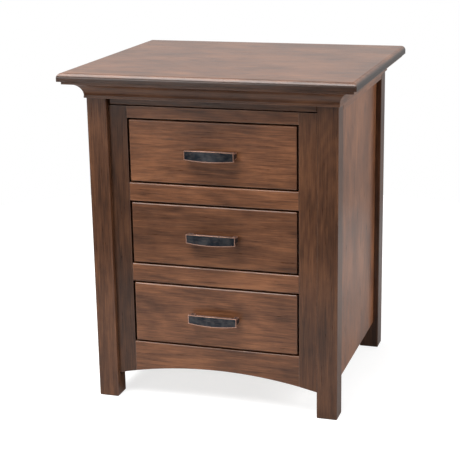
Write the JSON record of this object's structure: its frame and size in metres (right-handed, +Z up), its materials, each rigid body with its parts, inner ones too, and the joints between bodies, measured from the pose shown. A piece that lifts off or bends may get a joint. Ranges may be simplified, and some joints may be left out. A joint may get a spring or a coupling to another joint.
{
  "type": "bedside cabinet",
  "caption": "Wooden bedside cabinet with inset drawers on runners and a moulded top that slides forward to uncover a shallow hidden compartment.",
  "frame": {"origin": "on the floor, under the middle of the top board", "axes": "+Z up, -Y out of the front that the drawers face, +X towards the right as seen from the front"},
  "size_m": [0.64, 0.55, 0.737],
  "materials": {
    "stained_wood": "satin lacquer over a dark brown stain",
    "stained_inner": "thin satin over dark brown stain",
    "drawer_wood": "clear satin on maple",
    "plywood": "clear satin on veneered board",
    "felt": "matt napped felt",
    "bronze": "oil-rubbed bronze, rubbed to copper at the edges",
    "runner_zinc": "bright zinc plate",
    "runner_black": "black zinc plate"
  },
  "bodies": {
    "carcass": {"leg_front_left": "stained_wood", "leg_front_right": "stained_wood", "leg_rear_left": "stained_wood", "leg_rear_right": "stained_wood", "side_panel_left": "stained_wood", "side_panel_right": "stained_wood", "side_band_left": "stained_wood", "side_band_right": "stained_wood", "filler_left": "stained_inner", "filler_right": "stained_inner", "back_rail": "stained_inner", "back_panel": "stained_inner", "compartment_floor": "stained_inner", "compartment_felt": "felt", "bottom_board": "plywood", "stile_left": "stained_wood", "stile_right": "stained_wood", "top_rail": "stained_wood", "mid_rail_upper": "stained_wood", "mid_rail_lower": "stained_wood", "bottom_rail": "stained_wood", "runner_packers": "drawer_wood", "drawer_runner_outer": "runner_zinc", "top_runner_outer": "runner_black"},
    "top": {"top_board": "stained_wood", "mould_front": "stained_wood", "mould_left": "stained_wood", "mould_right": "stained_wood", "front_band": "stained_wood", "top_cleats": "drawer_wood", "top_runner_inner": "runner_black"},
    "top_runner": {"top_runner_middle": "runner_black"},
    "drawer_1": {"drawer_1_front": "stained_wood", "drawer_1_side_left": "drawer_wood", "drawer_1_side_right": "drawer_wood", "drawer_1_box_front": "drawer_wood", "drawer_1_box_back": "drawer_wood", "drawer_1_bottom": "plywood", "drawer_1_pull": "bronze", "drawer_1_runner_inner": "runner_zinc"},
    "drawer_1_runner": {"drawer_1_runner_middle": "runner_zinc"},
    "drawer_2": {"drawer_2_front": "stained_wood", "drawer_2_side_left": "drawer_wood", "drawer_2_side_right": "drawer_wood", "drawer_2_box_front": "drawer_wood", "drawer_2_box_back": "drawer_wood", "drawer_2_bottom": "plywood", "drawer_2_pull": "bronze", "drawer_2_runner_inner": "runner_zinc"},
    "drawer_2_runner": {"drawer_2_runner_middle": "runner_zinc"},
    "drawer_3": {"drawer_3_front": "stained_wood", "drawer_3_side_left": "drawer_wood", "drawer_3_side_right": "drawer_wood", "drawer_3_box_front": "drawer_wood", "drawer_3_box_back": "drawer_wood", "drawer_3_bottom": "plywood", "drawer_3_pull": "bronze", "drawer_3_runner_inner": "runner_zinc"},
    "drawer_3_runner": {"drawer_3_runner_middle": "runner_zinc"}
  },
  "joints": [
    {"name": "top_slide", "type": "slide", "parent": "carcass", "child": "top", "axis": [0, -1, 0], "range_m": [0, 0.25]},
    {"name": "top_runner_slide", "type": "slide", "parent": "carcass", "child": "top_runner", "axis": [0, -1, 0], "range_m": [0, 0.125]},
    {"name": "drawer_1_slide", "type": "slide", "parent": "carcass", "child": "drawer_1", "axis": [0, -1, 0], "range_m": [0, 0.38]},
    {"name": "drawer_1_runner_slide", "type": "slide", "parent": "carcass", "child": "drawer_1_runner", "axis": [0, -1, 0], "range_m": [0, 0.19]},
    {"name": "drawer_2_slide", "type": "slide", "parent": "carcass", "child": "drawer_2", "axis": [0, -1, 0], "range_m": [0, 0.38]},
    {"name": "drawer_2_runner_slide", "type": "slide", "parent": "carcass", "child": "drawer_2_runner", "axis": [0, -1, 0], "range_m": [0, 0.19]},
    {"name": "drawer_3_slide", "type": "slide", "parent": "carcass", "child": "drawer_3", "axis": [0, -1, 0], "range_m": [0, 0.38]},
    {"name": "drawer_3_runner_slide", "type": "slide", "parent": "carcass", "child": "drawer_3_runner", "axis": [0, -1, 0], "range_m": [0, 0.19]}
  ],
  "couplings": [
    {"joint": "top_runner_slide", "follows": "top_slide", "ratio": 0.5},
    {"joint": "drawer_1_runner_slide", "follows": "drawer_1_slide", "ratio": 0.5},
    {"joint": "drawer_2_runner_slide", "follows": "drawer_2_slide", "ratio": 0.5},
    {"joint": "drawer_3_runner_slide", "follows": "drawer_3_slide", "ratio": 0.5}
  ]
}
